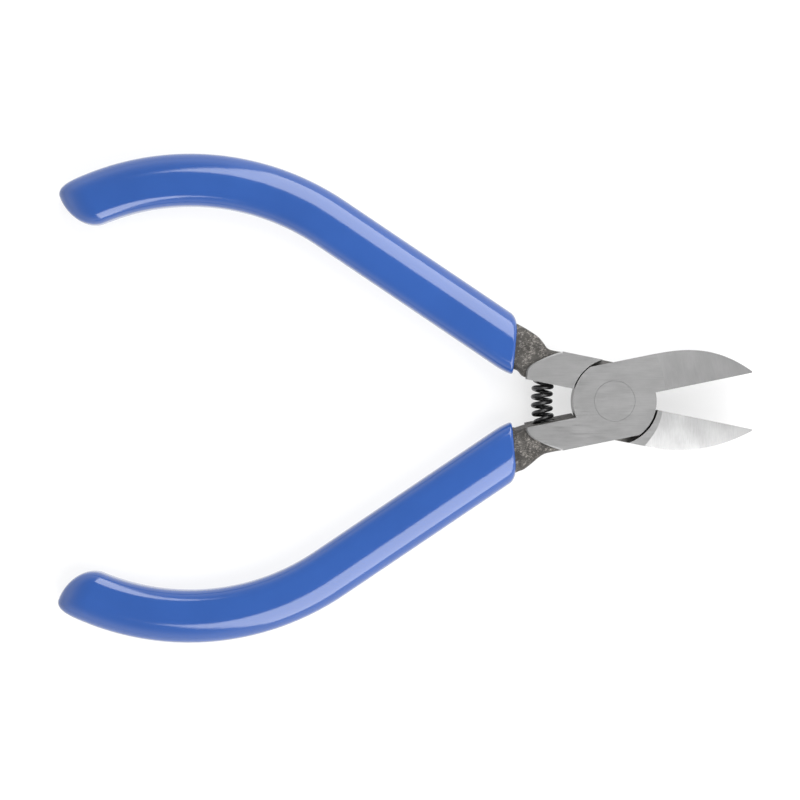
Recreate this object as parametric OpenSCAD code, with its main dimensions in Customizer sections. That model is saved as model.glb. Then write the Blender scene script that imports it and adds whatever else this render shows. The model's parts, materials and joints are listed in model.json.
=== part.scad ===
// Spring-opened flush cutter with a lap joint and dipped grips, lying on its back face.
// The rivet's axis is Z through the origin, the jaws point along +X and the front face is up.
// Both halves are drawn closed, with their cutting edges on the X axis, then turned open.

/* [Head] */
// Thickness of the head, shared by the two laps
head_t = 8; // [6:0.1:10]
// Half the width across the head's two flat sides
head_half_w = 6.05; // [5.9:0.01:6.3]
// Radius of the round lap of each half
lap_r = 6.62; // [6.4:0.01:6.7]
// Play between the two laps
lap_play = 0.06; // [0.02:0.01:0.1]
// Angle between the halves when the spring holds them open
opening = 22.9; // [12:0.1:26]

/* [Jaws] */
// Distance from the rivet to the jaw tips
jaw_tip_x = 22.4; // [19:0.1:26]
// Distance from the rivet to where the jaws begin to thin
taper_x = 7.9; // [7.5:0.1:9]
// Slope of the faces that thin each jaw towards its tip
taper_deg = 9; // [5:0.5:10]
// How full the front half's jaw is behind its edge
front_fullness = 3.0; // [2:0.1:3.4]
// How full the rear half's jaw is behind its edge
rear_fullness = 2.3; // [2:0.1:3.4]

/* [Rivet] */
// Radius of the rivet's shank
rivet_r = 2.2; // [1.5:0.05:2.6]
// Radius of the rivet's flush heads
rivet_head_r = 3.2; // [2.9:0.05:3.8]

/* [Handles] */
// Radius of the bend along the middle of each handle
bend_r = 39.8; // [36:0.1:44]
// How far round each handle bends before its end
bend_deg = 56.5; // [50:0.5:62]
// Straight length of each grip, from the bend to its mouth
grip_straight = 35.4; // [30:0.1:36]
// Slant of each grip's mouth, which is shorter on the outside of the bend
mouth_slant = 28.8; // [0:0.1:30]
// Width of each grip
grip_w = 8.4; // [8:0.1:9]
// Width of the steel arm inside a grip
arm_w = 6; // [5:0.1:6.4]
// Thickness of the steel arm inside a grip
arm_t = 5.6; // [4.5:0.1:6]

/* [Spring] */
// Outer diameter of the return spring
spring_d = 3.5; // [3:0.05:3.7]
// Diameter of the spring's wire
wire_d = 0.7; // [0.5:0.01:0.75]
// Depth of the hole that holds each end of the spring
seat_depth = 3.3; // [2:0.1:3.5]

/* [Hidden] */
$fn = 96;

steel = "#b5b6b5";
polished = "#c3c4c3";
black_wire = "#26282a";
blue_vinyl = "#1d53b5";

half_t = head_t / 2;
arm_shoulder_gap = 0.18;
jaw_shoulder_gap = 0.33;
arm_shoulder_r = lap_r + arm_shoulder_gap;
jaw_shoulder_r = lap_r + jaw_shoulder_gap;
big = 60;

edge_y = 0.04;
edge_land = 0.4;
bevel_w = 2.4;
bevel_depth = 3;
// The bevel starts this far beyond the start of the taper, and widens this much below its depth
bevel_setback = 0.3;
bevel_flare = 0.5;
back_x = 6;
tip_half_w = 0.3;
back_steps = 24;

inner_y = 0.6;
// How far the arm's inner wall leans back over the head's thickness
inner_lean = 0.75;
inner_slant = atan(inner_lean / head_t);
inner_end_x = -15.2;
land_centre = [-10.05, -1.4];
land_r = 4.4;
neck_t = 6.8;
neck_outer = [-11.2, -5.9];
neck_extra_w = 0.35;
neck_gap = 0.15;

bend_x = -65;
bend_y = 18.4;
handle_skew = 0.46;
handle_deg = 22.55;
// The arm runs on past the grip's mouth into the neck, and ends short of the grip's closed end
neck_overlap = 2.6;
closed_end_deg = 3.5;
arm_straight = grip_straight + neck_overlap;
arm_end_deg = bend_deg - closed_end_deg;
arm_corner_r = 1.6;
grip_corner_r = 2.7;
grip_gap = 0.01;
mouth_taper_len = 3;
mouth_taper_deg = 7;

// Outline of the grip's end seen from the front, from its inner to its outer side
nib_outline = [
    [-grip_w / 2, -1],
    [-3.8, 1.5],
    [-2.8, 3],
    [-0.8, 4.4],
    [2.4, 5],
    [3.2, 4.8],
    [3.9, 3.2],
    [grip_w / 2, -1]
];
nib_len = 5;
// The end is this much narrower than the bar whose end face it grows from
nib_inset = 0.2;
// The same end seen from the side
nib_profile = [
    [-1, -head_t / 2],
    [1.2, -head_t / 2],
    [3.6, -head_t / 3],
    [nib_len, -head_t / 6],
    [nib_len, head_t / 6],
    [3.6, head_t / 3],
    [1.2, head_t / 2],
    [-1, head_t / 2]
];

rivet_head_h = 1.2;
press_gap = 0.01;
running_gap = 0.04;

seat_x = -11.5;
seat_play = 0.1;
seat_r = spring_d / 2 + seat_play;
seat_mouth_y = inner_y + half_t * tan(inner_slant);
seat_floor_y = seat_mouth_y + seat_depth;
spring_end_gap = 0.03;
coil_pitch = 1.25;
// Rise of a closed end coil, in wire diameters: just enough to keep its turns apart
closed_rise = 1.02;
// Part of a turn over which the wire's direction is measured
turn_step = 0.01;
steps_per_turn = 16;
wire_sides = 8;

// A rectangle with round corners, centred on the origin
module rounded(w, t, r) {
    square([w, t - 2 * r], center = true);
    square([w - 2 * r, t], center = true);
    for (x = [-1, 1], y = [-1, 1])
        translate([x * (w / 2 - r), y * (t / 2 - r)])
            circle(r);
}

// Places its child, drawn about the bend's centre, on the handle of a half in the front layout
module on_handle(skew) {
    translate([bend_x, bend_y + skew, half_t])
        mirror([0, 1, 0])
            rotate(90 - handle_deg)
                children();
}

// A bar of rounded section that follows the handle, from the bend's end to its straight end
module handle_bar(w, t, r, end_deg, straight) {
    rotate_extrude(angle = end_deg)
        translate([bend_r, 0])
            rounded(w, t, r);
    translate([bend_r, 0, 0])
        rotate([90, 0, 0])
            linear_extrude(straight)
                rounded(w, t, r);
}

// Point beside the handle's middle line, in the front layout
function beside(along, side, skew) = [
    bend_x + bend_r * sin(handle_deg) + along * cos(handle_deg) - side * sin(handle_deg),
    bend_y + skew - bend_r * cos(handle_deg) + along * sin(handle_deg) + side * cos(handle_deg)
];

// Height of the jaw's back above its cutting edge, falling along a power curve to the tip
function back_y(x, fullness) =
    head_half_w - (head_half_w - tip_half_w) * pow((x - back_x) / (jaw_tip_x - back_x), fullness);

module jaw_outline(fullness) {
    back = [
        for (i = [0 : back_steps])
            let (x = jaw_tip_x - i * (jaw_tip_x - back_x) / back_steps)
                [x, back_y(x, fullness)]
    ];
    polygon(concat([[0, edge_y], [jaw_tip_x, edge_y]], back, [[0, head_half_w]]));
}

// The faces that thin the jaw towards its tip, above and below
module jaw_taper() {
    translate([taper_x, 0, head_t])
        rotate([0, taper_deg, 0])
            translate([0, -big / 2, 0])
                cube([big, big, big]);
    translate([taper_x, 0, 0])
        rotate([0, -taper_deg, 0])
            translate([0, -big / 2, -big])
                cube([big, big, big]);
}

// The space ground away behind the cutting edge, so that the front of the cut stays flush
module edge_bevel() {
    translate([taper_x + bevel_setback, 0, head_t])
        rotate([0, taper_deg, 0])
            rotate([90, 0, 90])
                linear_extrude(big)
                    polygon([
                        [-1, -edge_land],
                        [edge_y, -edge_land],
                        [bevel_w, -bevel_depth],
                        [bevel_w + bevel_flare, -2 * head_t],
                        [-1, -2 * head_t]
                    ]);
}

module neck_outline(skew) {
    outer_side = arm_w / 2 + neck_extra_w;
    polygon([
        [0, -inner_y],
        [inner_end_x, -inner_y],
        beside(grip_straight + arm_w / 2 * tan(mouth_slant) + neck_gap, arm_w / 2, skew),
        beside(grip_straight - outer_side * tan(mouth_slant) + 2 * neck_gap, -outer_side, skew),
        beside(arm_straight, -outer_side, skew),
        neck_outer,
        [0, -head_half_w]
    ]);
}

// The ground land of the arm, and the lower forged neck that it runs out on
module neck(skew) {
    difference() {
        union() {
            translate([0, 0, (head_t - neck_t) / 2])
                linear_extrude(neck_t)
                    neck_outline(skew);
            linear_extrude(head_t)
                intersection() {
                    neck_outline(skew);
                    union() {
                        translate(land_centre)
                            circle(land_r);
                        translate([land_centre.x, -big / 2])
                            square(big);
                    }
                }
        }
        translate([inner_end_x, -inner_y, 0])
            rotate([inner_slant, 0, 0])
                translate([0, 0, -1])
                    cube([big, big, head_t + 2]);
    }
}

// One half in the front layout: lap above, jaw to the right, arm to the lower left
module half_blank(fullness, skew) {
    difference() {
        union() {
            translate([0, 0, half_t])
                linear_extrude(half_t)
                    intersection() {
                        circle(lap_r);
                        square([big, 2 * head_half_w], center = true);
                    }
            difference() {
                linear_extrude(head_t)
                    jaw_outline(fullness);
                translate([0, 0, -1])
                    cylinder(r = jaw_shoulder_r, h = half_t + 1);
                jaw_taper();
            }
            difference() {
                neck(skew);
                translate([0, 0, -1])
                    cylinder(r = arm_shoulder_r, h = half_t + 1);
            }
            on_handle(skew)
                handle_bar(arm_w, arm_t, arm_corner_r, arm_end_deg, arm_straight);
        }
        translate([0, 0, half_t - 1])
            cylinder(r = lap_r, h = 1 + lap_play / 2);
        translate([seat_x, -seat_floor_y, half_t])
            rotate([-90, 0, 0])
                cylinder(r = seat_r, h = seat_floor_y);
    }
}

// Turns the front layout over about the X axis, which gives the rear layout
module turned_over() {
    translate([0, 0, head_t])
        rotate([180, 0, 0])
            children();
}

module rivet_body(gap) {
    rotate_extrude()
        polygon([
            [0, 0],
            [rivet_head_r + gap, 0],
            [rivet_r + gap, rivet_head_h],
            [rivet_r + gap, head_t - rivet_head_h],
            [rivet_head_r + gap, head_t],
            [0, head_t]
        ]);
}

// The vinyl sleeve in the front layout, closed at the handle's end with a drip point
module grip_sleeve(skew) {
    on_handle(skew)
        difference() {
            union() {
                handle_bar(grip_w, head_t, grip_corner_r, bend_deg, arm_straight);
                grip_nib();
            }
            translate([bend_r, -grip_straight, 0])
                rotate(mouth_slant)
                    translate([-big / 2, -big, -big / 2])
                        cube(big);
            translate([bend_r - grip_w / 2, mouth_taper_len - grip_straight, 0])
                rotate(mouth_taper_deg)
                    translate([-big, -big, -big / 2])
                        cube(big);
            handle_bar(
                arm_w + 2 * grip_gap,
                arm_t + 2 * grip_gap,
                arm_corner_r + grip_gap,
                arm_end_deg,
                arm_straight + 1
            );
        }
}

// The tapered end of the grip, leaning to the outside of the bend
module grip_nib() {
    rotate(bend_deg)
        translate([bend_r, 0, 0])
            intersection() {
                translate([0, -1, 0])
                    rotate([-90, 0, 0])
                        linear_extrude(nib_len + 1)
                            rounded(grip_w - nib_inset, head_t - nib_inset, grip_corner_r);
                translate([0, 0, -head_t])
                    linear_extrude(2 * head_t)
                        polygon(nib_outline);
                rotate([90, 0, 90])
                    linear_extrude(2 * grip_w, center = true)
                        polygon(nib_profile);
            }
}

// The spring's middle line: straight in each seat, with a gentle bow between the arms
half_open = opening / 2;
mouth = [
    seat_x * cos(half_open) + seat_mouth_y * sin(half_open),
    -seat_x * sin(half_open) + seat_mouth_y * cos(half_open)
];
bow_r = mouth.y / sin(half_open);
bow_len = 2 * bow_r * half_open * PI / 180;
straight_len = seat_depth - spring_end_gap - wire_d / 2;
spine_len = bow_len + 2 * straight_len;
bow_centre_x = mouth.x + bow_r * cos(half_open);

// Direction of the middle line, in degrees from +Y towards +X, at a length from its lower end
function lean(s) =
    let (t = (s - straight_len) / bow_len)
        half_open * (2 * min(max(t, 0), 1) - 1);

function spine(s) =
    s < straight_len
        ? [mouth.x, -mouth.y] + (s - straight_len) * [-sin(half_open), cos(half_open)]
    : s > straight_len + bow_len
        ? mouth + (s - straight_len - bow_len) * [sin(half_open), cos(half_open)]
    : [bow_centre_x - bow_r * cos(lean(s)), bow_r * sin(lean(s))];

// One closed coil at each end, and even coils between
end_coil_len = closed_rise * wire_d;
active_turns = (spine_len - 2 * end_coil_len) / coil_pitch;
turns = active_turns + 2;
function coil_len(t) =
    t < 1 ? t * end_coil_len
    : t > turns - 1 ? spine_len - (turns - t) * end_coil_len
    : end_coil_len + (t - 1) * coil_pitch;

coil_r = (spring_d - wire_d) / 2;

// Outward direction of the coil at a turn, and the wire's centre there
function outward(t) =
    let (a = lean(coil_len(t)), q = -360 * (t - turns / 2))
        [cos(a) * cos(q), -sin(a) * cos(q), sin(q)];
function wire_centre(t) =
    let (p = spine(coil_len(t)))
        [p.x, p.y, half_t] + coil_r * outward(t);

function unit(v) = v / norm(v);

wire_rings = ceil(turns * steps_per_turn);

module wire_sweep() {
    points = [
        for (i = [0 : wire_rings])
            let (
                t = i * turns / wire_rings,
                out = outward(t),
                ahead = unit(wire_centre(t + turn_step) - wire_centre(t - turn_step)),
                side = unit(cross(ahead, out))
            )
                for (k = [0 : wire_sides - 1])
                    let (b = 360 * k / wire_sides)
                        wire_centre(t) + wire_d / 2 * (cos(b) * out + sin(b) * side)
    ];
    walls = [
        for (i = [0 : wire_rings - 1], k = [0 : wire_sides - 1])
            let (
                a = i * wire_sides + k,
                b = i * wire_sides + (k + 1) % wire_sides
            )
                [a, a + wire_sides, b + wire_sides, b]
    ];
    start = [for (k = [0 : wire_sides - 1]) k];
    end = [for (k = [wire_sides - 1 : -1 : 0]) wire_rings * wire_sides + k];
    polyhedron(points, concat(walls, [start, end]), convexity = 10);
}

module front_half() {
    color(steel)
        rotate(half_open)
            difference() {
                half_blank(front_fullness, handle_skew);
                edge_bevel();
                rivet_body(press_gap);
            }
}

module rear_half() {
    color(steel)
        rotate(-half_open)
            difference() {
                turned_over()
                    half_blank(rear_fullness, -handle_skew);
                mirror([0, 1, 0])
                    edge_bevel();
                rivet_body(running_gap);
            }
}

module pivot_rivet() {
    color(polished)
        rivet_body(0);
}

module return_spring() {
    color(black_wire)
        wire_sweep();
}

module front_grip() {
    color(blue_vinyl)
        rotate(half_open)
            grip_sleeve(handle_skew);
}

module rear_grip() {
    color(blue_vinyl)
        rotate(-half_open)
            turned_over()
                grip_sleeve(-handle_skew);
}

front_half();
rear_half();
pivot_rivet();
return_spring();
front_grip();
rear_grip();
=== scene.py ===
"""Looks of the flush cutter: forged and ground steel halves, a flush rivet, a wire spring, dipped grips.

Shapes are drawn in millimetres with the tool closed, in the layout of the front half, and are then
turned open and scaled to the frame's metres. The rear half is the front layout turned over.
"""
import json
import math

import bmesh
import bpy
from mathutils import Matrix, Vector


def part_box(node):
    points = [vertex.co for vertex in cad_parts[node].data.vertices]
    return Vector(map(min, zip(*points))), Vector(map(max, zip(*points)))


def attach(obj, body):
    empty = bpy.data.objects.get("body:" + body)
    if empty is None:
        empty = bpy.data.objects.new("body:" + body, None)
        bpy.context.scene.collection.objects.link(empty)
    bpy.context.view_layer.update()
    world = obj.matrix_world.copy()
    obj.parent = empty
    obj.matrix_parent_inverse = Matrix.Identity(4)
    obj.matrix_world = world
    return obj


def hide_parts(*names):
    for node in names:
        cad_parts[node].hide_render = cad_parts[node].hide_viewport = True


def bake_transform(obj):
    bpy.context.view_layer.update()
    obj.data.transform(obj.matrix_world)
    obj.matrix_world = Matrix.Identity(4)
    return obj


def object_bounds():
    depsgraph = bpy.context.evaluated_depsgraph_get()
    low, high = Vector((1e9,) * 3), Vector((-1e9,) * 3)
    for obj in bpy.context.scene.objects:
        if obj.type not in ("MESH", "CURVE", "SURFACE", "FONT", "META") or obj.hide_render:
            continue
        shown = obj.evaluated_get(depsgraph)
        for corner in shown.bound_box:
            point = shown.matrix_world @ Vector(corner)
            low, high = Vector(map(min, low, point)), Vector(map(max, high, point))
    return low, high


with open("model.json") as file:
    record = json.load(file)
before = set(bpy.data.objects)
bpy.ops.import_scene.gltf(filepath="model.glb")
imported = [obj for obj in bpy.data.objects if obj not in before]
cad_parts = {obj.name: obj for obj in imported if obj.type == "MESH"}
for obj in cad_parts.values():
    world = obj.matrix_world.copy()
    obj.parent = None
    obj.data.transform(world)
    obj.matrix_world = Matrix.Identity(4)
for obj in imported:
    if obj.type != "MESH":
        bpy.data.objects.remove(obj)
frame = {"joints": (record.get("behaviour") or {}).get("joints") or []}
cad_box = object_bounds()

MM = 0.001

# Taken from the frame
PIVOT = frame["joints"][0]
HALF_OPEN = math.radians(PIVOT["range_deg"][1]) / 2
HEAD_T = (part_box("front_half")[1].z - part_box("front_half")[0].z) / MM
MID_Z = HEAD_T / 2
FLOOR_Z = cad_box[0].z

# Meshes: points closer than WELD are one point, cutting shapes reach PAST beyond what they cut,
# and a face looks along an axis if its normal has more than FACING of it
WELD = 1e-5
PAST = 1
FACING = 0.7
CURVE_STEPS = 6

# Head, in millimetres
HEAD_HALF_W = 6.05
LAP_R = 6.62
LAP_PLAY = 0.03
LAP_ARC_POINTS = 64
ARM_SHOULDER_R = LAP_R + 0.18
JAW_SHOULDER_R = LAP_R + 0.33
JAW_TIP_X = 22.4
JAW_BACK_X = 6
JAW_BACK_STEPS = 64
TIP_HALF_W = 0.3

# Flush edge and the space behind it, which gets narrower and shallower towards the tip
EDGE_Y = 0.04
EDGE_LAND = 0.4
EDGE_BEVEL_W = 2.4
EDGE_BEVEL_DEPTH = 3
EDGE_BEVEL_LEN = 16
EDGE_BEVEL_END_W = 0.25
EDGE_BEVEL_END_DEPTH = 1.6
EDGE_BEVEL_FLARE = 1.2
BEVEL_START_X = 8.2

# Ground faces of a jaw. A border is its furthest X, its bow, and the Y of its furthest point
FACET_DEG = 9
FACET_BOW = 0.035
FACET_STEPS = 12
FACET_ROWS = 40
FACET_Y = (-0.6, 6.6)
FACET_REACH = 3
FACET_CLEARANCE = 6
LAP_BORDER = (8.32, 0.036, 1.9)
BACK_BORDER = (7.7, 0.058, 0.6)

# Rivet
RIVET_R = 2.2
RIVET_HEAD_R = 3.2
RIVET_HEAD_H = 1.2
RIVET_RIM = 0.02
PRESS_GAP = 0.01
RUNNING_GAP = 0.04

# Arms and necks
WALL_Y = 0.6
WALL_SLANT = 0.75 / HEAD_T
LAND_RIM = 0.22
LAND_RIM_DEPTH = 0.08
LAND_HEART = Vector((-9.5, -2.6))
LAND_EDGE = [(-14.5, -1.1), (-14.62, -1.75), (-14.38, -2.5), (-13.75, -3.28), (-12.59, -4.2),
             (-11.25, -5.13), (-10.04, -5.82), (-9.5, -6.05)]
NECK_HALF_H = 3.55
NECK_THINNING = 0.05
NECK_POWER = 9
NECK_ROUNDING = 0.5
ARM_W = 6.0
ARM_T = 5.6
ARM_POWER = 4
ARM_POINTS = 48
GRIP_STRAIGHT = 35.4
BEND_CENTRE = Vector((-65, 18.4))
BEND_R = 39.8
BEND_DEG = 56.5
ARM_END_DEG = 53
ARM_BEND_STATIONS = range(4, ARM_END_DEG + 1, 7)
HANDLE_DEG = 22.55
HANDLE_SKEW = 0.46

# The arm in the grip's mouth: its sides, how far they lie past the slanted mouth, and its section
MOUTH_SLANT = math.radians(28.8)
MOUTH_SIDES = (-3.1, 3.3)
MOUTH_SHIFTS = (-0.4, 0.1)
MOUTH_SECTION = (3.05, 5.5, 0.3)
# Where the arm is set out inside the grip, and how much of the mouth's slant it has there
ARM_SETOUT = ((GRIP_STRAIGHT - 4, 0.6), (GRIP_STRAIGHT - 9, 0), (10, 0), (0, 0))

# Grips
GRIP_W = 8.4
GRIP_POINTS = 72
GRIP_POWER_OUTER = 2.6
GRIP_POWER_INNER = 4
GRIP_BEND_RINGS = 40
GRIP_STRAIGHT_RINGS = 30
ARM_FIT = 0.05
ARM_END_GAP_DEG = 0.4
HOLLOW_STRAIGHT_RINGS = 8
HOLLOW_BEND_RINGS = 16
LIP_R = 0.5
LIP_STEPS = 6
MOUTH_CORNER_R = 1.4
MOUTH_TAPER_LEN = 3.0
MOUTH_TAPER = 0.37

# Rings near the mouth, by their distance behind it: the closer ones of the skin, those of the
# mouth's face with how deep in the wall they are, and where the wider ones start again
SKIN_CLOSE = 3.2
SKIN_CLOSE_RINGS = (2.8, 2.4, 2.0, 1.7, 1.4, 1.15, 0.9, 0.7)
MOUTH_FACE_RINGS = ((0.0, 0.75), (0.08, 0.92), (0.3, 1))
HOLLOW_CLOSE = 1.5

# Closed end of a grip
NIB_LEN = 5
NIB_APEX = 2.4
NIB_RINGS = 20
NIB_STEP_DEG = 4.48
NIB_SIDE_POWER = 1.5
NIB_HEIGHT_POWER = 0.9

# Spring: a closed end coil rises by slightly more than its wire, the wire's direction is measured
# over TURN_STEP of a turn each way, and its ends are rounded off by CAP_RINGS
SPRING_R = 1.4
WIRE_R = 0.36
COIL_PITCH = 1.25
CLOSED_RISE = 1.02
RINGS_PER_TURN = 40
WIRE_SIDES = 14
TURN_STEP = 0.01
CAP_RINGS = 3
CAP_STEP_DEG = 28
CAP_LEN = 0.12
SEAT_X = -11.5
SEAT_DEPTH = 3.3
SEAT_PLAY = 0.1
SEAT_POINTS = 64
SEAT_END_GAP = 0.03

# Slots of a half's mesh, in the order of its materials. The two jaw-face slots hold ground steel painted
# darker as shade and painted lighter as a highlight
GROUND, FACET, PAINTED_HIGHLIGHT_FACET, FORGED, SHADED = range(5)

# What differs between the two halves: jaw fullness, handle skew, where the edge is, the gap round
# the rivet, and the neck's inner and outer points
HALVES = {
    "front": {
        "fullness": 3.0,
        "skew": HANDLE_SKEW,
        "edge_on_top": True,
        "rivet_gap": PRESS_GAP,
        "neck": [((-9, -0.68), (-9, -6.03)), ((-11.2, -0.68), (-11.1, -5.97)),
                 ((-12.6, -0.68), (-12.5, -6.03)), ((-14.2, -0.68), (-13.5, -6.4)),
                 ((-15.2, -0.74), (-14.8, -7.13)), ((-16.1, -0.83), (-16.2, -7.8))],
    },
    "rear": {
        "fullness": 2.3,
        "skew": -HANDLE_SKEW,
        "edge_on_top": False,
        "rivet_gap": RUNNING_GAP,
        "neck": [((-9, -0.68), (-9, -6.03)), ((-11.1, -0.68), (-10.9, -5.93)),
                 ((-12.5, -0.68), (-12.0, -6.1)), ((-14.3, -0.68), (-12.9, -6.9)),
                 ((-15.2, -0.85), (-14.0, -7.7)), ((-16.0, -1.45), (-15.8, -8.43))],
    },
}

# Studio, in metres. The grip panel is mirrored to the tool's other side
DOME_LOW = 1.3
DOME_OVERHEAD = 0.28
DOME_FADE = (0.1, 0.97)
GRIP_PANEL_AT = (0.055, 0.2, 0.22)
GRIP_PANEL_AIM = (-0.055, 0.035, 0)
GRIP_PANEL_SIZE = (0.22, 0.34)
GRIP_PANEL_RADIANCE = 4.6
JAW_PANEL_AT = (0.31, -0.15, 0.45)
JAW_PANEL_AIM = (0.015, 0, 0)
JAW_PANEL_SIZE = (0.2, 0.2)
JAW_PANEL_RADIANCE = 4.6
FLOOR_HALF = 3.0
FLOOR_GAP = 0.02 * MM
CAMERA_HEIGHT = 0.6
CAMERA_SHIFT = Vector((-0.743, -0.293, 0)) * MM
VIEW_W = 0.1264
SENSOR_MM = 36


# ---------------------------------------------------------------- helpers

def mesh_object(name, verts, faces, slot=0, materials=None):
    """A mesh object with outward normals, all its faces in one slot of its materials.

    Without materials it is a part of a steel half, and gets the steels.
    """
    materials = materials or STEELS
    mesh = bpy.data.meshes.new(name)
    mesh.from_pydata([tuple(v) for v in verts], [], faces)
    bm = bmesh.new()
    bm.from_mesh(mesh)
    bmesh.ops.remove_doubles(bm, verts=bm.verts, dist=WELD)
    bmesh.ops.recalc_face_normals(bm, faces=bm.faces)
    for face in bm.faces:
        face.material_index = slot
    bm.to_mesh(mesh)
    bm.free()
    for material in materials:
        mesh.materials.append(material)
    obj = bpy.data.objects.new(name, mesh)
    bpy.context.scene.collection.objects.link(obj)
    return obj


def loft(name, rings, slot=0, materials=None):
    """Joins rings of equally many points and closes both ends."""
    n = len(rings[0])
    verts = [p for ring in rings for p in ring]
    faces = []
    for i in range(len(rings) - 1):
        for k in range(n):
            a, b = i * n + k, i * n + (k + 1) % n
            faces.append((a, b, b + n, a + n))
    faces.append(tuple(range(n)))
    faces.append(tuple(range(len(verts) - n, len(verts))))
    return mesh_object(name, verts, faces, slot, materials)


def prism(name, outline, z0, z1, slot=0):
    """Stands an outline of (x, y) points up between two heights."""
    return loft(name, [[(x, y, z) for x, y in outline] for z in (z0, z1)], slot)


def circle(r, n=128, start=0.0, end=360.0):
    """Points on an arc about the origin; a full circle leaves its last point out."""
    last = n if end - start >= 360 else n - 1
    angles = [math.radians(start + (end - start) * i / last) for i in range(n)]
    return [(r * math.cos(a), r * math.sin(a)) for a in angles]


def turned(name, profile, slot=0, materials=None, n=96):
    """Lathes a closed profile of (radius, z) points, the first and last of them on the axis."""
    verts = [(0, 0, profile[0][1])]
    faces = []
    body = profile[1:-1]
    for r, z in body:
        verts += [(x, y, z) for x, y in circle(r, n)]
    verts.append((0, 0, profile[-1][1]))
    for k in range(n):
        j = (k + 1) % n
        faces.append((0, 1 + k, 1 + j))
        for i in range(len(body) - 1):
            a = 1 + i * n
            faces.append((a + k, a + n + k, a + n + j, a + j))
        top = 1 + (len(body) - 1) * n
        faces.append((len(verts) - 1, top + j, top + k))
    return mesh_object(name, verts, faces, slot, materials)


def combine(target, tool, operation):
    """Applies a boolean to target and removes the tool."""
    modifier = target.modifiers.new("combine", "BOOLEAN")
    modifier.operation = operation
    modifier.object = tool
    modifier.solver = "EXACT"
    graph = bpy.context.evaluated_depsgraph_get()
    mesh = bpy.data.meshes.new_from_object(target.evaluated_get(graph))
    target.modifiers.clear()
    target.data = mesh
    bpy.data.objects.remove(tool)


def smooth_curve(points):
    """Catmull-Rom curve through points of any dimension."""
    pts = [Vector(p) for p in points]
    pts = [2 * pts[0] - pts[1]] + pts + [2 * pts[-1] - pts[-2]]
    curve = []
    for i in range(1, len(pts) - 2):
        a, b, c, d = pts[i - 1:i + 3]
        for k in range(CURVE_STEPS):
            t = k / CURVE_STEPS
            curve.append(0.5 * (2 * b + (c - a) * t + (2 * a - 5 * b + 4 * c - d) * t * t
                                + (3 * b - a - 3 * c + d) * t ** 3))
    return curve + [pts[-2]]


def lerp(a, b, t):
    return a + (b - a) * t


def squircle(angle, power):
    """Unit superellipse point: (across, up)."""
    c, s = math.cos(angle), math.sin(angle)
    return (math.copysign(abs(c) ** (2 / power), c), math.copysign(abs(s) ** (2 / power), s))


def handle_point(outer, along=0.0, turn_deg=0.0, skew=0.0):
    """Point of a handle in the front layout: outer is the offset to the outside of the bend."""
    angle = math.radians(HANDLE_DEG - turn_deg)
    lean = math.radians(HANDLE_DEG)
    return Vector((
        BEND_CENTRE.x + (BEND_R + outer) * math.sin(angle) + along * math.cos(lean),
        BEND_CENTRE.y + skew - (BEND_R + outer) * math.cos(angle) + along * math.sin(lean),
    ))


def place(obj, side):
    """Turns a finished piece from the front layout to its open place, in metres."""
    turn = Matrix.Rotation(HALF_OPEN, 4, "Z")
    if side == "rear":
        over = Matrix.Translation((0, 0, HEAD_T)) @ Matrix.Rotation(math.pi, 4, "X")
        turn = Matrix.Rotation(-HALF_OPEN, 4, "Z") @ over
    obj.data.transform(Matrix.Scale(MM, 4) @ turn)


def soften(obj, sharp_deg=28.0, ground_deg=12.0):
    """Smooth shading that keeps real edges and the borders between finishes crisp.

    Ground faces stay crisp at gentler angles than forged or moulded ones.
    """
    bm = bmesh.new()
    bm.from_mesh(obj.data)
    for face in bm.faces:
        face.smooth = True
    steel = len(obj.data.materials) > 1
    for edge in bm.edges:
        faces = edge.link_faces
        if len(faces) == 2:
            slot = faces[0].material_index
            limit = ground_deg if steel and slot != FORGED else sharp_deg
            edge.smooth = (edge.calc_face_angle(math.pi) < math.radians(limit)
                           and slot == faces[1].material_index)
    bm.to_mesh(obj.data)
    bm.free()


# ---------------------------------------------------------------- steel halves

def wall_y(z):
    """Inner wall of an arm: it leans back towards the lap side."""
    return -WALL_Y - WALL_SLANT * z


def shoulder_cutter(r):
    """Room for the other half's lap, its walls painted dark as shade."""
    return prism("shoulder", circle(r), -PAST, MID_Z + LAP_PLAY, SHADED)


def lap_disc():
    """The round half of the joint, with a flat on each side and an underside painted dark as shade."""
    flat = math.degrees(math.asin(HEAD_HALF_W / LAP_R))
    outline = circle(LAP_R, LAP_ARC_POINTS, -flat, flat)
    outline += circle(LAP_R, LAP_ARC_POINTS, 180 - flat, 180 + flat)
    lap = prism("half", outline, MID_Z + LAP_PLAY, HEAD_T, GROUND)
    # The underside gets the wall steel that is painted dark as shade
    for face in lap.data.polygons:
        if face.normal.z < -FACING:
            face.material_index = SHADED
    return lap


def jaw_back_y(x, fullness):
    share = (x - JAW_BACK_X) / (JAW_TIP_X - JAW_BACK_X)
    return HEAD_HALF_W - (HEAD_HALF_W - TIP_HALF_W) * share ** fullness


def jaw_block(fullness):
    """A jaw at its full thickness, before its faces and the space behind its edge are ground."""
    back = []
    for i in range(JAW_BACK_STEPS + 1):
        x = lerp(JAW_TIP_X, JAW_BACK_X, i / JAW_BACK_STEPS)
        back.append((x, jaw_back_y(x, fullness)))
    outline = [(0, EDGE_Y), (JAW_TIP_X, EDGE_Y)] + back + [(0, HEAD_HALF_W)]
    jaw = prism("jaw", outline, 0, HEAD_T, GROUND)
    combine(jaw, shoulder_cutter(JAW_SHOULDER_R), "DIFFERENCE")
    return jaw


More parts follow.
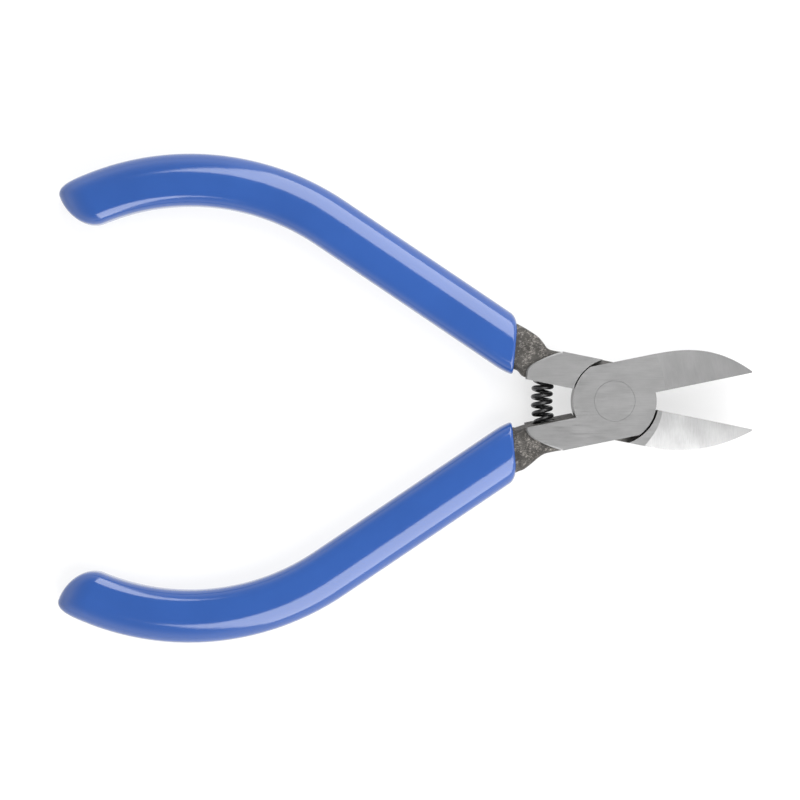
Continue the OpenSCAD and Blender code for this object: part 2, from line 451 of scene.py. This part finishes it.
def land_ring(edge, z, inset):
    """Outline of the ground land at a height, drawn in from its curved edge by an inset."""
    ring = [(0, wall_y(z), z)]
    for p in edge:
        q = p + (LAND_HEART - p).normalized() * inset
        ring.append((q.x, max(q.y, -HEAD_HALF_W), z))
    ring[1] = (ring[1][0], wall_y(z), z)
    ring[-1] = (ring[-1][0], -HEAD_HALF_W, z)
    return ring + [(0, -HEAD_HALF_W, z)]


def land_block():
    """The ground part of the arm, with a narrow bright rim where it meets the forging."""
    edge = smooth_curve(LAND_EDGE)
    levels = ((0, LAND_RIM), (LAND_RIM_DEPTH, 0), (HEAD_T - LAND_RIM_DEPTH, 0), (HEAD_T, LAND_RIM))
    land = loft("land", [land_ring(edge, z, inset) for z, inset in levels], GROUND)
    for face in land.data.polygons:
        if face.normal.y > FACING:
            face.material_index = FORGED
    combine(land, shoulder_cutter(ARM_SHOULDER_R), "DIFFERENCE")
    return land


def arm_stations(side):
    """(inner point, outer point, half height, squareness, wall slant) along the neck and the arm."""
    slope = math.tan(MOUTH_SLANT)
    stations = []

    def add(sides, along, shear, turn_deg, section, shifts=(0, 0)):
        points = [handle_point(offset, along - offset * slope * shear + shift, turn_deg,
                               HALVES[side]["skew"]) for offset, shift in zip(sides, shifts)]
        stations.append((*points[0], *points[1], *section))

    for i, (inner, outer) in enumerate(HALVES[side]["neck"]):
        section = (NECK_HALF_H - NECK_THINNING * i, NECK_POWER - NECK_ROUNDING * i, 1.0)
        stations.append((*inner, *outer, *section))
    add(MOUTH_SIDES, GRIP_STRAIGHT, 1, 0, MOUTH_SECTION, MOUTH_SHIFTS)
    arm_sides = (-ARM_W / 2, ARM_W / 2)
    arm_section = (ARM_T / 2, ARM_POWER, 0.0)
    for along, shear in ARM_SETOUT:
        add(arm_sides, along, shear, 0, arm_section)
    for turn_deg in ARM_BEND_STATIONS:
        add(arm_sides, 0, 0, turn_deg, arm_section)
    return smooth_curve(stations)


def arm(side):
    rings = []
    for xi, yi, xo, yo, half_h, power, slant in arm_stations(side):
        inner, outer = Vector((xi, yi)), Vector((xo, yo))
        ring = []
        for k in range(ARM_POINTS):
            across, up = squircle(2 * math.pi * (k + 0.5) / ARM_POINTS, power)
            p = lerp(inner, outer, (across + 1) / 2)
            z = MID_Z + up * half_h
            lean = WALL_SLANT * z * slant * (1 - across) / 2
            ring.append((p.x, p.y - lean, z))
        rings.append(ring)
    return loft("arm", rings, FORGED)


def facet_start(y, lap_side):
    """Where a jaw's ground face begins: its border is bowed, and lies nearer the rivet at the back."""
    furthest_x, bow, furthest_y = LAP_BORDER if lap_side else BACK_BORDER
    return furthest_x - bow * (y - furthest_y) ** 2


def facet_cutter(lap_side):
    """What is ground off one side of a jaw to thin it towards its tip.

    The side without the lap is ground slightly round, so it falls faster near the tip.
    """
    slope = math.tan(math.radians(FACET_DEG))
    bow = 0 if lap_side else FACET_BOW
    above = HEAD_T + FACET_CLEARANCE
    far = JAW_TIP_X + FACET_REACH
    rings = []
    for i in range(FACET_ROWS + 1):
        y = lerp(*FACET_Y, i / FACET_ROWS)
        start = facet_start(y, lap_side)
        section = [(start - PAST, above), (start - PAST, HEAD_T + slope * PAST)]
        for k in range(FACET_STEPS + 1):
            share = k / FACET_STEPS
            fall = slope * share + bow * (share * share - share)
            section.append((lerp(start, far, share), HEAD_T - (far - start) * fall))
        section.append((far, above))
        rings.append([(x, y, z if lap_side else HEAD_T - z) for x, z in section])
    # The lap side's face gets ground steel painted darker as shade; the other side's face gets it painted
    # lighter as a highlight
    return loft("facet", rings, FACET if lap_side else PAINTED_HIGHLIGHT_FACET)


def edge_cutter(edge_on_top):
    """The space behind the flush cutting edge, which narrows towards the tip."""
    tilt = math.radians(FACET_DEG)
    deep = -2 * HEAD_T
    rings = []
    for x, width, depth in ((0, EDGE_BEVEL_W, EDGE_BEVEL_DEPTH),
                            (EDGE_BEVEL_LEN, EDGE_BEVEL_END_W, EDGE_BEVEL_END_DEPTH)):
        outline = [(-PAST, -EDGE_LAND), (EDGE_Y, -EDGE_LAND), (width, -depth),
                   (width * EDGE_BEVEL_FLARE, deep), (-PAST, deep)]
        ring = []
        for y, z in outline:
            px = BEVEL_START_X + x * math.cos(tilt) + z * math.sin(tilt)
            pz = HEAD_T - x * math.sin(tilt) + z * math.cos(tilt)
            ring.append((px, y, pz if edge_on_top else HEAD_T - pz))
        rings.append(ring)
    # The space behind the edge gets the ground steel painted darker as shade
    return loft("edge", rings, FACET)


def rivet_hole(gap):
    """Countersunk on both faces, with a fine straight rim that lets the rivet show as a ring."""
    r, head = RIVET_R + gap, RIVET_HEAD_R + gap
    rim = head + RIVET_RIM
    return turned("hole", [(0, -PAST), (rim, -PAST), (rim, 0), (head, RIVET_RIM), (r, RIVET_HEAD_H),
                           (r, HEAD_T - RIVET_HEAD_H), (head, HEAD_T - RIVET_RIM), (rim, HEAD_T),
                           (rim, HEAD_T + PAST), (0, HEAD_T + PAST)], GROUND)


def spring_seat():
    """The blind hole for one end of the spring, its walls painted dark as shade."""
    depth = WALL_Y + MID_Z * WALL_SLANT + SEAT_DEPTH
    hole = circle(SPRING_R + WIRE_R + SEAT_PLAY, SEAT_POINTS)
    return loft("seat", [[(SEAT_X + x, y, MID_Z + z) for x, z in hole] for y in (0, -depth)], SHADED)


def steel_half(side):
    """One forging: its parts joined, then ground, drilled and countersunk."""
    facts = HALVES[side]
    half = lap_disc()
    half.name = side + "_half_steel"
    for part in (jaw_block(facts["fullness"]), land_block(), arm(side)):
        combine(half, part, "UNION")
    for tool in (facet_cutter(True), facet_cutter(False), edge_cutter(facts["edge_on_top"]),
                 spring_seat(), rivet_hole(facts["rivet_gap"])):
        combine(half, tool, "DIFFERENCE")
    soften(half)
    place(half, side)
    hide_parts(side + "_half")
    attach(half, side)


# ---------------------------------------------------------------- rivet and spring

def rivet(material):
    rim = RIVET_HEAD_R - RIVET_RIM
    piece = turned("flush_rivet", [
        (0, 0), (rim, 0), (RIVET_HEAD_R, RIVET_RIM), (RIVET_R, RIVET_HEAD_H),
        (RIVET_R, HEAD_T - RIVET_HEAD_H), (RIVET_HEAD_R, HEAD_T - RIVET_RIM),
        (rim, HEAD_T), (0, HEAD_T)], materials=[material])
    soften(piece)
    piece.data.transform(Matrix.Scale(MM, 4))
    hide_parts("pivot_rivet")
    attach(piece, "front")


def seat_mouth():
    """Mouth of the rear arm's seat, on the spring's middle line. The front one is its mirror."""
    y = WALL_Y + MID_Z * WALL_SLANT
    c, s = math.cos(HALF_OPEN), math.sin(HALF_OPEN)
    return Vector((SEAT_X * c + y * s, -SEAT_X * s + y * c))


def spring_spine():
    """(length, function from a length to (point, lean)) of the spring's gently bowed middle line."""
    mouth = seat_mouth()
    s, c = math.sin(HALF_OPEN), math.cos(HALF_OPEN)
    bow_r = mouth.y / s
    bow = 2 * bow_r * HALF_OPEN
    straight = SEAT_DEPTH - SEAT_END_GAP - WIRE_R

    def at(length):
        past = length - straight
        if past < 0:
            return Vector((mouth.x, -mouth.y)) + past * Vector((-s, c)), -HALF_OPEN
        if past > bow:
            return mouth + (past - bow) * Vector((s, c)), HALF_OPEN
        lean = HALF_OPEN * (2 * past / bow - 1)
        return Vector((mouth.x + bow_r * c - bow_r * math.cos(lean), bow_r * math.sin(lean))), lean

    return bow + 2 * straight, at


def coil_path():
    """(turns, function from a turn to (wire's centre, outward direction)) of the coil."""
    length, spine = spring_spine()
    end_coil = CLOSED_RISE * 2 * WIRE_R
    turns = (length - 2 * end_coil) / COIL_PITCH + 2

    def at(turn):
        if turn < 1:
            along = turn * end_coil
        elif turn > turns - 1:
            along = length - (turns - turn) * end_coil
        else:
            along = end_coil + (turn - 1) * COIL_PITCH
        p, lean = spine(along)
        q = -2 * math.pi * (turn - turns / 2)
        out = Vector((math.cos(lean) * math.cos(q), -math.sin(lean) * math.cos(q), math.sin(q)))
        return Vector((p.x, p.y, MID_Z)) + SPRING_R * out, out

    return turns, at


def wire_ring(i, count, turns, path):
    """Ring of the wire. The rings before the first and after the last one round off its ends."""
    turn = turns * min(max(i / count, 0), 1)
    centre, out = path(turn)
    ahead = (path(turn + TURN_STEP)[0] - path(turn - TURN_STEP)[0]).normalized()
    beside = ahead.cross(out).normalized()
    cap = math.radians(CAP_STEP_DEG * max(-i, i - count, 0))
    centre += ahead * CAP_LEN * math.sin(cap) * (-1 if i < 0 else 1)
    ring = []
    for k in range(WIRE_SIDES):
        angle = 2 * math.pi * k / WIRE_SIDES
        ring.append(centre + WIRE_R * math.cos(cap) * (math.cos(angle) * out + math.sin(angle) * beside))
    return ring


def coil_spring(material):
    turns, path = coil_path()
    count = math.ceil(turns * RINGS_PER_TURN)
    rings = [wire_ring(i, count, turns, path) for i in range(-CAP_RINGS, count + CAP_RINGS + 1)]
    piece = loft("coil_spring", rings, materials=[material])
    soften(piece, sharp_deg=60)
    piece.data.transform(Matrix.Scale(MM, 4))
    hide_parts("return_spring")
    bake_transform(piece)


# ---------------------------------------------------------------- grips

def grip_section(angle):
    """Outer skin: a broad round on the outside of the bend, a tighter one on the inside."""
    power = GRIP_POWER_OUTER if math.cos(angle) > 0 else GRIP_POWER_INNER
    return squircle(angle, power)


def through_wall(angle, skin, skin_z, wall_share):
    """(offset, height) in the vinyl's wall: 0 is on the outer skin and 1 on the arm's surface."""
    across, up = squircle(angle, ARM_POWER)
    return (lerp(skin, across * (ARM_W / 2 + ARM_FIT), wall_share),
            lerp(skin_z, up * (ARM_T / 2 + ARM_FIT), wall_share))


def grip_angles():
    """Angles of a ring's points, none of them on an axis."""
    return [2 * math.pi * (k + 0.5) / GRIP_POINTS for k in range(GRIP_POINTS)]


def grip_ring(side, advance, wall_share):
    """Ring of the sleeve's straight part, at a distance behind its slanted mouth."""
    shear = math.tan(MOUTH_SLANT) * max(1 - advance / GRIP_STRAIGHT, 0)
    corner = max(MOUTH_CORNER_R - advance, 0)
    corner_inset = MOUTH_CORNER_R - math.sqrt(MOUTH_CORNER_R ** 2 - corner ** 2)
    taper = MOUTH_TAPER * max(1 - advance / MOUTH_TAPER_LEN, 0) ** 2
    ring = []
    for angle in grip_angles():
        across, up = grip_section(angle)
        skin = across * GRIP_W / 2
        skin -= corner_inset * max(across, 0) ** 2
        skin += taper * max(-across, 0) ** 2
        offset, z = through_wall(angle, skin, up * HEAD_T / 2, wall_share)
        p = handle_point(offset, GRIP_STRAIGHT - advance - offset * shear, skew=HALVES[side]["skew"])
        ring.append((p.x, p.y, MID_Z + z))
    return ring


def bend_ring(side, turn_deg, wall_share, beyond=0.0):
    """Ring round the bend, or of the tapered nib beyond it."""
    fall = 1 - math.sqrt(max(1 - (beyond / NIB_LEN) ** 2, 0))
    inner = -GRIP_W / 2 + (GRIP_W / 2 + NIB_APEX) * fall
    outer = GRIP_W / 2 - (GRIP_W / 2 - NIB_APEX) * fall ** NIB_SIDE_POWER
    height = HEAD_T / 2 * (1 - fall) ** NIB_HEIGHT_POWER
    ahead = math.radians(HANDLE_DEG - turn_deg)
    step = -beyond * Vector((math.cos(ahead), math.sin(ahead)))
    ring = []
    for angle in grip_angles():
        across, up = grip_section(angle)
        skin = lerp(inner, outer, (across + 1) / 2)
        offset, z = through_wall(angle, skin, up * height, wall_share)
        p = handle_point(offset, turn_deg=turn_deg, skew=HALVES[side]["skew"]) + step
        ring.append((p.x, p.y, MID_Z + z))
    return ring


def skin_rings(side):
    """Outside of a grip, from the tip of its nib to just behind its mouth."""
    rings = []
    for i in range(NIB_RINGS, 0, -1):
        beyond = NIB_LEN * math.sin(math.radians(NIB_STEP_DEG * i))
        rings.append(bend_ring(side, BEND_DEG, 0, beyond))
    for i in range(GRIP_BEND_RINGS):
        rings.append(bend_ring(side, BEND_DEG * (1 - i / GRIP_BEND_RINGS), 0))
    last = GRIP_STRAIGHT_RINGS - 1
    for i in range(GRIP_STRAIGHT_RINGS):
        rings.append(grip_ring(side, lerp(GRIP_STRAIGHT, SKIN_CLOSE, i / last), 0))
    return rings + [grip_ring(side, advance, 0) for advance in SKIN_CLOSE_RINGS]


def lip_rings(side):
    """The mouth's round lip, and its flat face in to the arm."""
    wall = GRIP_W / 2 - ARM_W / 2
    rings = []
    for i in range(LIP_STEPS + 1):
        angle = math.radians(90 * i / LIP_STEPS)
        rings.append(grip_ring(side, LIP_R * (1 - math.sin(angle)), LIP_R * (1 - math.cos(angle)) / wall))
    return rings + [grip_ring(side, advance, share) for advance, share in MOUTH_FACE_RINGS]


def hollow_rings(side):
    """Inside of a grip, along the arm to its end."""
    rings = []
    for i in range(HOLLOW_STRAIGHT_RINGS + 1):
        rings.append(grip_ring(side, lerp(HOLLOW_CLOSE, GRIP_STRAIGHT, i / HOLLOW_STRAIGHT_RINGS), 1))
    end = ARM_END_DEG + ARM_END_GAP_DEG
    for i in range(1, HOLLOW_BEND_RINGS + 1):
        rings.append(bend_ring(side, end * i / HOLLOW_BEND_RINGS, 1))
    return rings


def grip(side, material):
    rings = skin_rings(side) + lip_rings(side) + hollow_rings(side)
    piece = loft(side + "_grip_vinyl", rings, materials=[material])
    soften(piece, sharp_deg=50)
    place(piece, side)
    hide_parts(side + "_grip")
    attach(piece, side)


# ---------------------------------------------------------------- materials

class Nodes:
    """A material's node tree around one Principled shader."""

    def __init__(self, name):
        self.material = bpy.data.materials.new(name)
        self.material.use_nodes = True
        self.tree = self.material.node_tree
        self.shader = next(n for n in self.tree.nodes if n.type == "BSDF_PRINCIPLED")

    def set(self, **values):
        for key, value in values.items():
            self.shader.inputs[key.replace("_", " ")].default_value = value

    def new(self, kind, **inputs):
        node = self.tree.nodes.new(kind)
        for key, value in inputs.items():
            node.inputs[key.replace("_", " ")].default_value = value
        return node

    def link(self, a, b):
        self.tree.links.new(a, b)

    def coords(self, scale, turn_deg=0.0):
        """Object coordinates, turned about Z and then scaled."""
        source = self.tree.nodes.new("ShaderNodeTexCoord")
        turn = self.new("ShaderNodeMapping", Rotation=(0, 0, math.radians(turn_deg)))
        stretch = self.new("ShaderNodeMapping", Scale=scale)
        self.link(source.outputs["Object"], turn.inputs["Vector"])
        self.link(turn.outputs["Vector"], stretch.inputs["Vector"])
        return stretch.outputs["Vector"]

    def noise(self, vector, detail=4.0, roughness=0.55):
        node = self.new("ShaderNodeTexNoise", Scale=1.0, Detail=detail, Roughness=roughness)
        self.link(vector, node.inputs["Vector"])
        return node.outputs["Fac"]

    def remap(self, value, low, high, start=0.3, end=0.7):
        node = self.new("ShaderNodeMapRange")
        for key, number in (("From Min", start), ("From Max", end), ("To Min", low), ("To Max", high)):
            node.inputs[key].default_value = number
        self.link(value, node.inputs["Value"])
        return node.outputs["Result"]

    def mix(self, factor, a, b):
        """Mixes two colours; each may be a colour or an output."""
        node = self.tree.nodes.new("ShaderNodeMix")
        node.data_type = "RGBA"
        sockets = [s for s in node.inputs if s.type == "RGBA"]
        for socket, value in zip(sockets, (a, b)):
            if isinstance(value, tuple):
                socket.default_value = (*value, 1)
            else:
                self.link(value, socket)
        self.link(factor, node.inputs["Factor"])
        return next(s for s in node.outputs if s.type == "RGBA")

    def calculate(self, operation, a, b):
        node = self.tree.nodes.new("ShaderNodeMath")
        node.operation = operation
        for socket, value in zip(node.inputs, (a, b)):
            if isinstance(value, (int, float)):
                socket.default_value = value
            else:
                self.link(value, socket)
        return node.outputs["Value"]

    def add(self, a, b):
        return self.calculate("ADD", a, b)

    def multiply(self, a, b):
        return self.calculate("MULTIPLY", a, b)

    def bump(self, height, distance_mm, strength=1.0):
        node = self.new("ShaderNodeBump", Strength=strength, Distance=distance_mm * MM)
        self.link(height, node.inputs["Height"])
        self.link(node.outputs["Normal"], self.shader.inputs["Normal"])

    def colour(self, output):
        self.link(output, self.shader.inputs["Base Color"])

    def roughness(self, output):
        self.link(output, self.shader.inputs["Roughness"])


def grey(value):
    return (value, value, value)


def ground_steel(name, dark, light, rough, line_deg=0.0, length_mm=3.5):
    """Steel ground flat: fine parallel lines, a slow cloudy tone and a few deeper scratches."""
    line_mm, depth_mm = 0.14, 0.0005
    m = Nodes(name)
    m.set(Metallic=1.0)
    lines = m.noise(m.coords((1 / (length_mm * MM), 1 / (line_mm * MM), 1 / (line_mm * MM)), line_deg),
                    detail=5, roughness=0.65)
    clouds = m.noise(m.coords((240, 420, 300), line_deg), detail=3)
    scratches = m.noise(m.coords((120, 9000, 2500), line_deg), detail=1)
    deep = m.remap(scratches, 0.0, 1.0, 0.74, 0.8)
    tone = m.multiply(m.add(lines, clouds), 0.5)
    m.colour(m.mix(m.remap(tone, 0.0, 1.0, 0.36, 0.64), grey(dark), grey(light)))
    m.roughness(m.remap(lines, rough - 0.07, rough + 0.09))
    m.bump(m.add(lines, m.multiply(deep, -0.15)), depth_mm)
    return m.material


def forged_scale():
    """Dark oxide skin of a drop forging: grainy, with lighter rubbed specks."""
    m = Nodes("forged_scale")
    m.set(Metallic=0.5)
    grain = m.noise(m.coords((2600, 5200, 4000), -25), detail=8, roughness=0.75)
    pits = m.noise(m.coords((1000, 1000, 1000)), detail=6, roughness=0.7)
    patches = m.noise(m.coords((420, 420, 420)), detail=4)
    rubbed = m.remap(m.multiply(grain, pits), 0.0, 1.0, 0.25, 0.4)
    base = m.mix(m.remap(patches, 0.0, 1.0), (0.03, 0.028, 0.025), (0.066, 0.062, 0.057))
    m.colour(m.mix(rubbed, base, (0.27, 0.25, 0.23)))
    m.roughness(m.remap(grain, 0.66, 0.45))
    m.bump(m.add(grain, m.multiply(pits, 1.6)), 0.09)
    return m.material


def painted_shade_wall():
    """Milled walls of the lap and the spring seats, painted dark as the shade that falls in these gaps
    and holes, with milling marks.
    """
    m = Nodes("painted_shade_wall")
    m.set(Metallic=0.8)
    marks = m.noise(m.coords((700, 700, 6000)), detail=4)
    m.colour(m.mix(m.remap(marks, 0.0, 1.0), (0.05, 0.048, 0.045), (0.17, 0.165, 0.16)))
    m.roughness(m.remap(marks, 0.38, 0.55))
    m.bump(marks, 0.006)
    return m.material


def black_wire():
    """Oiled black spring wire with a faint sheen and a slightly uneven surface."""
    m = Nodes("black_wire")
    m.set(Metallic=0.35, Coat_Weight=0.35, Coat_Roughness=0.22)
    drawn = m.noise(m.coords((2600, 2600, 2600)), detail=5, roughness=0.6)
    rub = m.remap(drawn, 0.0, 1.0, 0.62, 0.75)
    m.colour(m.mix(rub, (0.012, 0.012, 0.013), (0.06, 0.06, 0.062)))
    m.roughness(m.remap(drawn, 0.26, 0.42))
    m.bump(drawn, 0.008)
    return m.material


def blue_vinyl():
    """Dipped vinyl: a glossy skin with slow dip waves and a very fine pebble."""
    m = Nodes("blue_vinyl")
    m.set(Specular_IOR_Level=0.72)
    waves = m.noise(m.coords((90, 90, 90)), detail=2)
    pebble = m.noise(m.coords((1500, 1500, 1500)), detail=3)
    m.colour(m.mix(m.remap(waves, 0.0, 1.0), (0.0155, 0.06, 0.235), (0.018, 0.067, 0.257)))
    m.roughness(m.remap(pebble, 0.09, 0.15))
    m.bump(m.add(m.multiply(waves, 3.0), m.multiply(pebble, 0.12)), 0.05, 0.35)
    return m.material


# ---------------------------------------------------------------- stage

def floor():
    """Pale floor that glows slightly, so that it comes out almost white."""
    m = Nodes("pale_floor")
    haze = m.noise(m.coords((4, 4, 4)), detail=2)
    m.colour(m.mix(m.remap(haze, 0.0, 1.0), grey(0.29), grey(0.31)))
    m.set(Roughness=0.9, Specular_IOR_Level=0.1, Emission_Color=(1, 1, 1, 1), Emission_Strength=0.66)
    z = FLOOR_Z - FLOOR_GAP
    corners = [(-FLOOR_HALF, -FLOOR_HALF, z), (FLOOR_HALF, -FLOOR_HALF, z),
               (FLOOR_HALF, FLOOR_HALF, z), (-FLOOR_HALF, FLOOR_HALF, z)]
    piece = mesh_object("floor", corners, [(0, 1, 2, 3)], materials=[m.material])


def softbox(name, centre, target, size, radiance):
    """A rectangular soft light; radiance is its brightness per unit of area and angle."""
    data = bpy.data.lights.new(name, "AREA")
    data.shape = "RECTANGLE"
    data.size, data.size_y = size
    data.energy = radiance * math.pi * size[0] * size[1]
    light = bpy.data.objects.new(name, data)
    light.location = centre
    light.rotation_euler = (Vector(target) - Vector(centre)).to_track_quat("-Z", "Y").to_euler()
    light.visible_camera = False
    bpy.context.scene.collection.objects.link(light)


def dome():
    """A soft dome that is dimmer overhead."""
    world = bpy.data.worlds.new("studio")
    bpy.context.scene.world = world
    world.use_nodes = True
    tree = world.node_tree
    background = tree.nodes["Background"]
    background.inputs["Color"].default_value = (1, 1, 1, 1)
    source = tree.nodes.new("ShaderNodeTexCoord")
    split = tree.nodes.new("ShaderNodeSeparateXYZ")
    fade = tree.nodes.new("ShaderNodeMapRange")
    fade.interpolation_type = "SMOOTHSTEP"
    for key, number in (("From Min", DOME_FADE[0]), ("From Max", DOME_FADE[1]),
                        ("To Min", DOME_LOW), ("To Max", DOME_OVERHEAD)):
        fade.inputs[key].default_value = number
    tree.links.new(source.outputs["Generated"], split.inputs["Vector"])
    tree.links.new(split.outputs["Z"], fade.inputs["Value"])
    tree.links.new(fade.outputs["Result"], background.inputs["Strength"])


def lights():
    """The dome, a leaning softbox to each side of the tool, and one beyond the jaws."""
    dome()
    for sign in (1, -1):
        mirror = Matrix.Diagonal((1, sign, 1))
        softbox("grip_panel", mirror @ Vector(GRIP_PANEL_AT), mirror @ Vector(GRIP_PANEL_AIM),
                GRIP_PANEL_SIZE, GRIP_PANEL_RADIANCE)
    softbox("jaw_panel", JAW_PANEL_AT, JAW_PANEL_AIM, JAW_PANEL_SIZE, JAW_PANEL_RADIANCE)


def camera():
    """Straight above the tool with a long lens, framed as wide as the whole tool and its margin."""
    lo, hi = cad_box
    data = bpy.data.cameras.new("camera")
    data.sensor_width = SENSOR_MM
    data.lens = SENSOR_MM * CAMERA_HEIGHT / VIEW_W
    data.dof.use_dof = False
    obj = bpy.data.objects.new("camera", data)
    obj.location = (lo + hi) / 2 + CAMERA_SHIFT
    obj.location.z = hi.z + CAMERA_HEIGHT
    bpy.context.scene.collection.objects.link(obj)
    bpy.context.scene.camera = obj


# ---------------------------------------------------------------- the scene

bpy.context.scene.view_settings.view_transform = "Standard"
lapped = ground_steel("ground_steel", dark=0.205, light=0.25, rough=0.4)
# The jaw faces' steels have their own grind lines. Their tone is painted darker as shade on one and
# lighter as a highlight on the other, following how the light falls on the two jaws
facet_painted_shade = ground_steel("facet_painted_shade", dark=0.18, light=0.22, rough=0.42, line_deg=78, length_mm=2.0)
facet_painted_highlight = ground_steel("facet_painted_highlight", dark=0.27, light=0.35, rough=0.36, line_deg=90, length_mm=2.0)
STEELS = [lapped, facet_painted_shade, facet_painted_highlight, forged_scale(), painted_shade_wall()]
for name in ("front", "rear"):
    steel_half(name)
rivet(ground_steel("rivet_face", dark=0.205, light=0.25, rough=0.4))
coil_spring(black_wire())
vinyl = blue_vinyl()
for name in ("front", "rear"):
    grip(name, vinyl)
floor()
lights()
camera()
